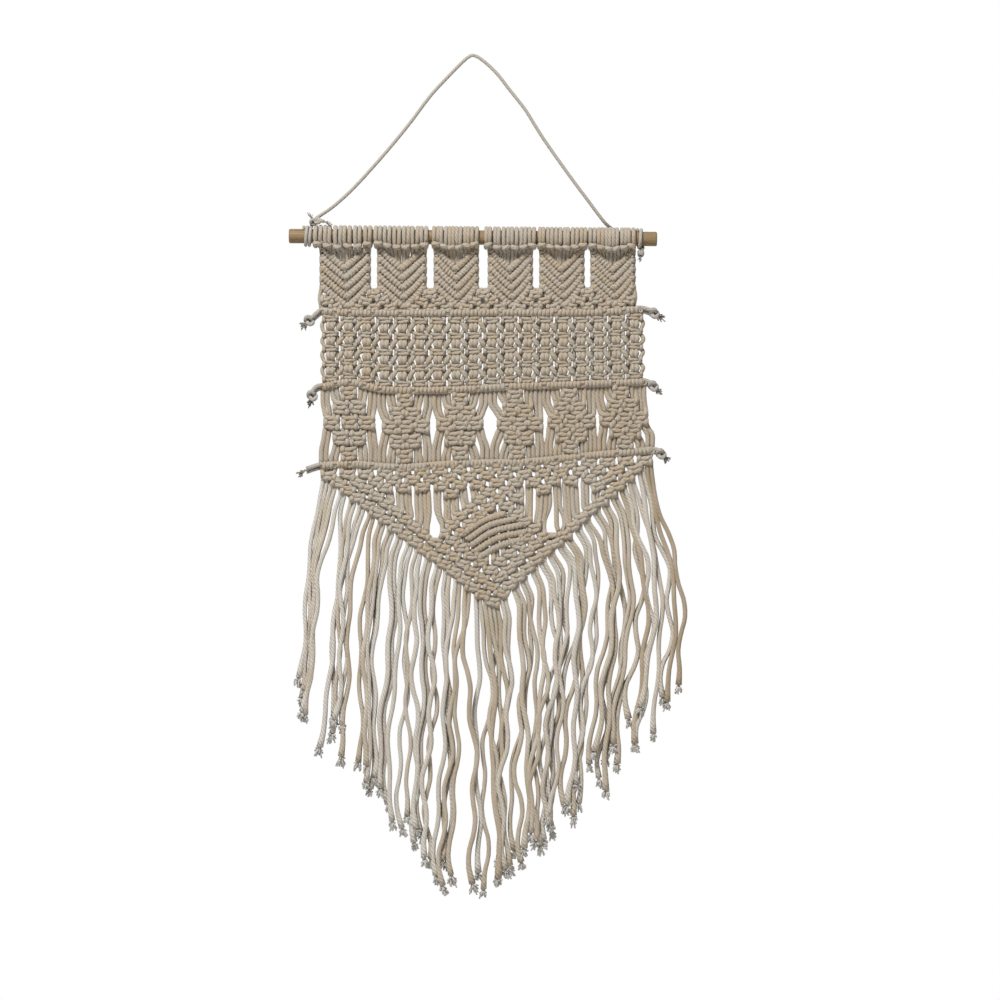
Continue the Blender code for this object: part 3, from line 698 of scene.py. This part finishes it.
for tab, x, hand in ((TABS[0], TABS[0].left, -1), (TABS[-1], TABS[-1].right, 1)):
    top, foot = rib_z(tab, RIBS - 1, x) + 2 * MM, row_z(ROWS[0], x)
    middle = (top + foot) / 2
    bow = ((3.5, top), (2.6, top - 4 * MM), (0.6, middle - 1 * MM), (1.6, foot + 7 * MM), (3, foot))
    joins.add([(x - hand * inward * MM, PANEL_Y, z) for inward, z in bow], 2.0 * MM)
joined = joins.build(BODY_COTTON)
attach(joined, "root")
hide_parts(*(f"join_{number}" for number in range(1, 8)))

# --- Net ------------------------------------------------------------------------------------------
# Eighteen columns of square knots. Between two rows of knots the outer cords of neighbouring columns
# change places, so they cross, and the two straight ones show as a bead.

NET_COLUMNS, NET_KNOTS = 18, 5
NET_LEFT, NET_PITCH = -145.7 * MM, 18.43 * MM
net = Cordage("net_knots", sides=8)


def place_x(place, left, pitch):
    """Where cord number place crosses a holding cord."""
    return left + (place // 4) * pitch + (place % 4 - 1.5) * 4.5 * MM


runs = {}
for place in range(4 * NET_COLUMNS):
    x = place_x(place, NET_LEFT, NET_PITCH)
    runs[place] = [(x, PANEL_Y, row_z(ROWS[0], x))]
for level in range(NET_KNOTS):
    for column in range(NET_COLUMNS):
        x = NET_LEFT + column * NET_PITCH + net.chance.uniform(-0.4, 0.4) * MM
        top, bottom = row_z(ROWS[0], x) - ROW_RADIUS - 3.4 * MM, row_z(ROWS[1], x) + ROW_RADIUS + 3.0 * MM
        z = top + (bottom - top) * level / (NET_KNOTS - 1) + net.chance.uniform(-0.6, 0.6) * MM
        knot = Knot(x, z, 4 * column, 18.2 * MM, 6.8 * MM, 2, net.chance.choice((-1, 1, 1)),
                    net.chance.uniform(-0.06, 0.06))
        for i, way in enumerate(square_knot(knot, CORD, 2.9 * MM)):
            place = 4 * column + i
            if level and i in (1, 2):
                middle = (runs[place][-1][2] + way[0][2]) / 2
                hand = 1 if i == 2 else -1
                runs[place] += [(x + hand * 1.9 * MM, PANEL_Y - 3.2 * MM, middle + 2.2 * MM, 2.6 * MM),
                                (x + hand * 2.3 * MM, PANEL_Y - 4.2 * MM, middle, 2.9 * MM),
                                (x + hand * 1.9 * MM, PANEL_Y - 3.2 * MM, middle - 2.2 * MM, 2.6 * MM)]
            runs[place] += [(*point, 2.0 * MM) for point in way]
    if level == NET_KNOTS - 1:
        break
    for column in range(NET_COLUMNS - 1):
        a, b = 4 * column + 3, 4 * column + 4
        x = NET_LEFT + (column + 0.5) * NET_PITCH
        z = runs[a][-1][2] - 4.2 * MM
        front, back, lean = (b, a, 1) if column < 7 else (a, b, -1)
        runs[front] += [(x + lean * 2.4 * MM, PANEL_Y - 3.0 * MM, z + 2.6 * MM, 2.55 * MM),
                        (x - lean * 0.8 * MM, PANEL_Y - 3.2 * MM, z - 2.2 * MM, 2.55 * MM)]
        runs[back].append((x - lean * 1.9 * MM, PANEL_Y + 1.6 * MM, z, 3.0 * MM))
        runs[a], runs[b] = runs[b], runs[a]
    for place, hand in ((0, -1), (4 * NET_COLUMNS - 1, 1)):
        last = runs[place][-1]
        runs[place].append((last[0] + hand * 2.4 * MM, PANEL_Y - 1 * MM, last[2] - 4.2 * MM))
for place, run in runs.items():
    x = place_x(place, NET_LEFT, NET_PITCH)
    net.add([(*point, CORD)[:4] for point in (*run, (x, PANEL_Y, row_z(ROWS[1], x)))])
netting = net.build(BODY_COTTON)
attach(netting, "root")
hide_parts("net_band")

# --- Diamonds -------------------------------------------------------------------------------------
# Six groups of twelve cords, each tied with nine square knots set one, two, three, two, one. The cords
# outside the diamond hang free, drawn in at the middle, and slits stand open between the groups.

Diamond = namedtuple("Diamond", "top_left top_right mid_left mid_right low_left low_right middle")
DIAMONDS = (
    Diamond(-155.0, -99.2, -153.0, -99.7, -156.5, -98.2, -378.1),
    Diamond(-97.0, -41.8, -93.0, -43.4, -96.5, -42.2, -381.7),
    Diamond(-39.8, 15.5, -36.7, 11.9, -40.3, 16.6, -379.1),
    Diamond(18.1, 71.3, 25.8, 73.4, 20.1, 73.6, -379.1),
    Diamond(73.2, 126.5, 78.0, 127.9, 75.9, 128.0, -377.0),
    Diamond(128.3, 178.7, 131.9, 181.8, 130.4, 187.0, -373.9),
)
gathered = Cordage("diamond_knots", sides=8)
for number, sizes in enumerate(DIAMONDS, 1):
    d = Diamond(*(value * MM for value in sizes))
    top_middle, low_middle = (d.top_left + d.top_right) / 2, (d.low_left + d.low_right) / 2
    middle = (d.mid_left + d.mid_right) / 2
    half = (d.mid_right - d.mid_left) / 2
    high = row_z(ROWS[1], top_middle) - ROW_RADIUS - 6.8 * MM
    deep = row_z(ROWS[2], low_middle) + ROW_RADIUS + 6.8 * MM
    knots = []
    for level, count in enumerate((1, 2, 3, 2, 1)):
        t = level / 4
        z = high + (d.middle - high) * t * 2 if t < 0.5 else d.middle + (deep - d.middle) * (t * 2 - 1)
        x0 = top_middle + (middle - top_middle) * min(1, t * 2) + (low_middle - middle) * max(0, t * 2 - 1)
        for i in range(count):
            x = x0 + (i - (count - 1) / 2) * (half - (9.0 if count == 2 else 8.2) * MM)
            away, up = gathered.chance.uniform(-0.5, 0.5) * MM, gathered.chance.uniform(-0.7, 0.7) * MM
            knots.append(Knot(x + away, z + up, 6 - 2 * count + 4 * i, 17.2 * MM, 13.8 * MM, 3,
                              gathered.chance.choice((-1, 1)), gathered.chance.uniform(-0.08, 0.08)))
    tops, feet = {}, {}
    for place, (x, foot) in enumerate(zip(spread(d.top_left, d.top_right, PER_TAB, 1.1 * MM),
                                          spread(d.low_left, d.low_right, PER_TAB, 1.1 * MM))):
        straight = (17 if place in (0, 1, 10, 11) else 8) * MM
        y = PANEL_Y + gathered.chance.uniform(-0.8, 0.8) * MM
        tops[place] = [(x, PANEL_Y, row_z(ROWS[1], x)), (x, y, row_z(ROWS[1], x) - straight)]
        feet[place] = [(foot, y, row_z(ROWS[2], foot) + straight), (foot, PANEL_Y, row_z(ROWS[2], foot))]
        if place in (4, 5, 6, 7):
            tops[place].pop()
            feet[place].pop(0)
    for run in lead_cords(tops, knots, feet, gathered.chance):
        gathered.add(run, 2.6 * MM)
diamonds = gathered.build(BODY_COTTON)
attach(diamonds, "root")
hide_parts(*(f"diamond_{number}" for number in range(1, 7)))

# --- V panel --------------------------------------------------------------------------------------
# All seventy-two cords, in alternating rows of square knots that lose one knot a row down to the point.
# Knots edge the V, hang in small triangles from the holding cord and frame a diamond of slanting ribs;
# elsewhere the cords hang free, and windows stand open beside the diamond.

V_ROWS = 18
V_TOP_LEFT, V_TOP_RIGHT, V_POINT = (-147.5, -432.5), (178.0, -417.0), (20.5, -562.5)
V_FRAME = ((20.7, -430.0), (82.0, -493.0), (18.6, -545.0), (-39.0, -488.0))
V_RIB_FIELD = ((-9.0, -491.0), (24.0, -468.0), (61.0, -482.0), (58.0, -494.0), (8.0, -522.0))
V_TRIANGLES = ((0, 3), (5, 4), (10, 4), (14, 4))
V_COTTON = cotton("panel_cotton", (0.485, 0.405, 0.31, 1), (0.46, 0.365, 0.25, 1), (0.46, 0.405, 0.33, 1))
Gap = namedtuple("Gap", "x z wide high")
V_GAPS = (Gap(-38.0, -487.0, 7.8, 16.0), Gap(81.6, -484.5, 7.4, 19.0), Gap(91.2, -480.0, 4.4, 12.0))


def inside(x, z, corners):
    """Whether a point lies within a convex outline given clockwise."""
    return all((bx - ax) * (z * 1000 - az) - (bz - az) * (x * 1000 - ax) <= 0
               for (ax, az), (bx, bz) in zip(corners, corners[1:] + corners[:1]))


def v_spot(row, k):
    """Where knot k of a row of the V sits."""
    depth = row / (V_ROWS - 1)
    last = V_ROWS - 1 - row
    t = k / last if last else 0.5
    left = [a + (b - a) * depth for a, b in zip(V_TOP_LEFT, V_POINT)]
    right = [a + (b - a) * depth for a, b in zip(V_TOP_RIGHT, V_POINT)]
    return tuple((a + (b - a) * t) * MM for a, b in zip(left, right))


def knotted(row, k):
    """Whether the V has a knot there, or free cords."""
    x, z = v_spot(row, k)
    last = V_ROWS - 1 - row
    edge = k < 2 or k > last - (1 if 4 <= row <= 10 else 2)
    triangles = any(k >= first and row + k <= first + size - 1 for first, size in V_TRIANGLES)
    framed = inside(x, z, V_FRAME) and not inside(x, z, V_RIB_FIELD)
    return row < 3 or edge or triangles or framed


def parted(point):
    """The point moved aside from the gaps near it."""
    x, y, z = point
    for gap in V_GAPS:
        level, away = (z / MM - gap.z) / gap.high, x / MM - gap.x
        if abs(level) < 1 and abs(away) < 5 * gap.wide:
            open_by = gap.wide * (1 - level**2)
            fade = 1 - abs(away) / (5 * gap.wide)
            x += fade * (math.copysign(math.sqrt(away**2 + open_by**2), away) - away) * MM
    return x, y, z


v_cords = Cordage("v_panel_knots", sides=8)
knots = []
for row in range(V_ROWS):
    for k in range(V_ROWS - row):
        if not knotted(row, k):
            continue
        x, z = v_spot(row, k)
        lean = 0.0
        if k < 2 and row:
            lean = -0.3
        elif k > V_ROWS - 3 - row and row:
            lean = 0.3
        away, up = v_cords.chance.uniform(-0.6, 0.6) * MM, v_cords.chance.uniform(-0.6, 0.6) * MM
        knots.append(Knot(x + away, z + up, 2 * row + 4 * k, 16.4 * MM, 8.2 * MM, 2,
                          v_cords.chance.choice((-1, 1)), lean + v_cords.chance.uniform(-0.15, 0.15)))
tops, feet = {}, {}
for place in range(ENDS):
    x = V_TOP_LEFT[0] * MM + (V_TOP_RIGHT[0] - V_TOP_LEFT[0]) * MM * (place - 1.5) / 68
    tops[place] = [(x, PANEL_Y, row_z(ROWS[2], x))]
for knot in sorted(knots, key=lambda knot: -knot.z):
    for i in range(4):
        down = -0.62 * knot.high
        across = (i - 1.5) * 4.3 * MM
        feet[knot.first + i] = [(knot.x + across - down * math.sin(knot.turn), PANEL_Y,
                                 knot.z + down + across * math.sin(knot.turn))]
for run in lead_cords(tops, knots, feet, v_cords.chance):
    v_cords.add([parted(point) for point in smooth(run, parts=3)], 2.55 * MM)
Rib = namedtuple("Rib", "start middle end")
for rib in (
    Rib((-8.0, -492.0), (12.0, -478.5), (35.0, -471.5)),
    Rib((-5.0, -498.5), (18.0, -483.5), (46.0, -476.5)),
    Rib((-2.0, -505.0), (22.0, -490.0), (54.0, -482.5)),
    Rib((1.5, -511.5), (26.0, -497.0), (57.0, -490.0)),
    Rib((5.0, -518.0), (30.0, -504.0), (56.0, -497.0)),
):
    way = [(x * MM, PANEL_Y - 2.6 * MM, z * MM) for x, z in rib]
    hitches(v_cords, way, 3.9 * MM, 1.9 * MM, 2.2 * MM, 2.0 * MM)
v_panel = v_cords.build(V_COTTON)
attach(v_panel, "root")
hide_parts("v_panel")

# --- Fringe ---------------------------------------------------------------------------------------
# The cords' free ends, left long in a rough point and cut unevenly. They hang slack in clumps, some
# crossing, and the last bit of each has come unplied into a soft flared brush.

# Painted shade in the creases is strong on the fringe and weak on the brushes.
FRINGE_COTTON = cotton("fringe_cotton", (0.76, 0.685, 0.575, 1), (0.40, 0.295, 0.175, 1), (0.60, 0.575, 0.535, 1),
                       depth=0.85, crease_shade_strength=2.4)
BRUSH_COTTON = cotton("brush_cotton", (0.68, 0.64, 0.58, 1), (0.58, 0.52, 0.44, 1), (0.62, 0.61, 0.59, 1),
                      depth=0.1, crease_shade_strength=0.5)
TIPS = ((0.0, -648), (0.1, -694), (0.2, -746), (0.3, -802), (0.4, -842), (0.5, -848), (0.6, -815), (0.7, -790),
        (0.8, -755), (0.9, -712), (1.0, -655))
fringe = Cordage("fringe_cords", sides=8)
brushes = Cordage("frayed_ends", sides=5)
chance = random.Random("fringe")
clumps, place = [], 0
while place < ENDS:
    size = chance.choice((1, 2, 3, 4, 5))
    phases = [chance.uniform(0, 6.3) for _ in range(2)]
    clumps.append((place, min(size, ENDS - place), *phases, chance.uniform(-1, 1)))
    place += size
for first, size, phase, second, drift in clumps:
    for place in range(first, first + size):
        x0, _, z0 = parted(feet[place][0])
        share = place / (ENDS - 1)
        tip = float(np.interp(share, *zip(*TIPS))) * MM + chance.uniform(-14, 14) * MM
        own, lag = chance.uniform(0.8, 2.2 + 2.4 * share) * MM, chance.uniform(0, 6.3)
        stray = chance.uniform(-22, 22) * MM if chance.random() < 0.35 + 0.3 * share else 0.0
        inward = ((size - 1) / 2 - (place - first)) * chance.uniform(0.6, 2.4) * MM
        layer = chance.uniform(-5.0, 4.6) * MM
        count = max(6, round((z0 - tip) / (17 * MM)))
        line = [(x0, PANEL_Y, z0 + 5 * MM), (x0, PANEL_Y, z0)]
        for i in range(1, count + 1):
            z = z0 + (tip - z0) * i / count
            fall = z0 - z
            loose = min(1, fall / (80 * MM))
            depth = min(1.3, max(0.0, (-0.430 - z) / 0.245))
            out = 27 * MM * math.sin(min(1.0, 0.8 * depth) * math.pi / 2) * (1 - share) ** 2
            bulge = 27 * MM * math.sin(min(1.3, depth) * math.pi * 0.75) * share**2
            wave = 3.0 * MM * math.sin(fall / (34 * MM) + phase) + own * math.sin(fall / (11.5 * MM) + lag)
            wave += 8.5 * MM * drift * math.sin(min(1.5, fall / (140 * MM)))
            wave += inward + stray * math.sin(min(1.5, fall / (170 * MM)))
            y = PANEL_Y + loose * (layer + 1.5 * MM * math.sin(fall / (50 * MM) + second))
            line.append((x0 - out + bulge + wave * loose, y, z))
        tint = 0.12 + 0.28 * share + 0.6 * chance.random()
        thick = chance.uniform(2.35, 2.85) * MM
        radii = [CORD, CORD, *[thick] * (len(line) - 4), thick * 1.1, thick * 1.45]
        fringe.add([(*point, radius) for point, radius in zip(line, radii)], None, tint, reach=9 * MM)
        way = Vector(line[-1]) - Vector(line[-2])
        brush, flare = chance.uniform(6, 9) * MM, chance.uniform(3.6, 5.2) * MM
        fray(brushes, line[-1], way, brush, flare, 30, 0.85 * MM, tint * 0.5)
strands = fringe.build(FRINGE_COTTON)
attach(strands, "root")
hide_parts("fringe")
frayed = brushes.build(BRUSH_COTTON)
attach(frayed, "root")
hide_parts("fringe")

# --- Floor and light ------------------------------------------------------------------------------
# A plain pale floor well below the hanging, and soft studio light from the upper left.

FLOOR_RADIUS, FLOOR_Z, FLOOR_CORNERS = 3.0, -1.5, 96
floor_mesh = bpy.data.meshes.new("floor")
round_it = [math.tau * i / FLOOR_CORNERS for i in range(FLOOR_CORNERS)]
rim = [(FLOOR_RADIUS * math.cos(angle), FLOOR_RADIUS * math.sin(angle), FLOOR_Z) for angle in round_it]
floor_mesh.from_pydata(rim, [], [list(range(FLOOR_CORNERS))])
floor = bpy.data.objects.new("floor", floor_mesh)
bpy.context.scene.collection.objects.link(floor)
pale, shader, start = surface("pale_floor")
shader.inputs["Base Color"].default_value = (0.86, 0.86, 0.85, 1)
shader.inputs["Roughness"].default_value = 0.9
floor_mesh.materials.append(pale)

world = bpy.data.worlds.new("studio")
bpy.context.scene.world = world
world.use_nodes = True
seen = world.node_tree.nodes["Background"]
seen.inputs["Color"].default_value = (1, 1, 1, 1)
lit = world.node_tree.nodes.new("ShaderNodeBackground")
lit.inputs["Color"].default_value = (1, 1, 1, 1)
lit.inputs["Strength"].default_value = 0.09
either = world.node_tree.nodes.new("ShaderNodeMixShader")
rays = world.node_tree.nodes.new("ShaderNodeLightPath")
world.node_tree.links.new(rays.outputs["Is Camera Ray"], either.inputs[0])
world.node_tree.links.new(lit.outputs[0], either.inputs[1])
world.node_tree.links.new(seen.outputs[0], either.inputs[2])
world.node_tree.links.new(either.outputs[0], world.node_tree.nodes["World Output"].inputs["Surface"])

Lamp = namedtuple("Lamp", "name place size power")
for lamp in (
    Lamp("key_light", (-0.9, -2.0, 2.0), 0.8, 132),
    Lamp("fill_light", (1.8, -2.4, -0.3), 2.0, 10),
    Lamp("back_light", (0.4, 2.4, 0.9), 2.0, 50),
):
    light = bpy.data.lights.new(lamp.name, "AREA")
    light.size = lamp.size
    light.energy = lamp.power
    obj = bpy.data.objects.new(lamp.name, light)
    obj.location = lamp.place
    obj.rotation_euler = (Vector((0, 0, -0.45)) - Vector(lamp.place)).to_track_quat("-Z", "Y").to_euler()
    bpy.context.scene.collection.objects.link(obj)
bpy.context.scene.view_settings.view_transform = "Standard"
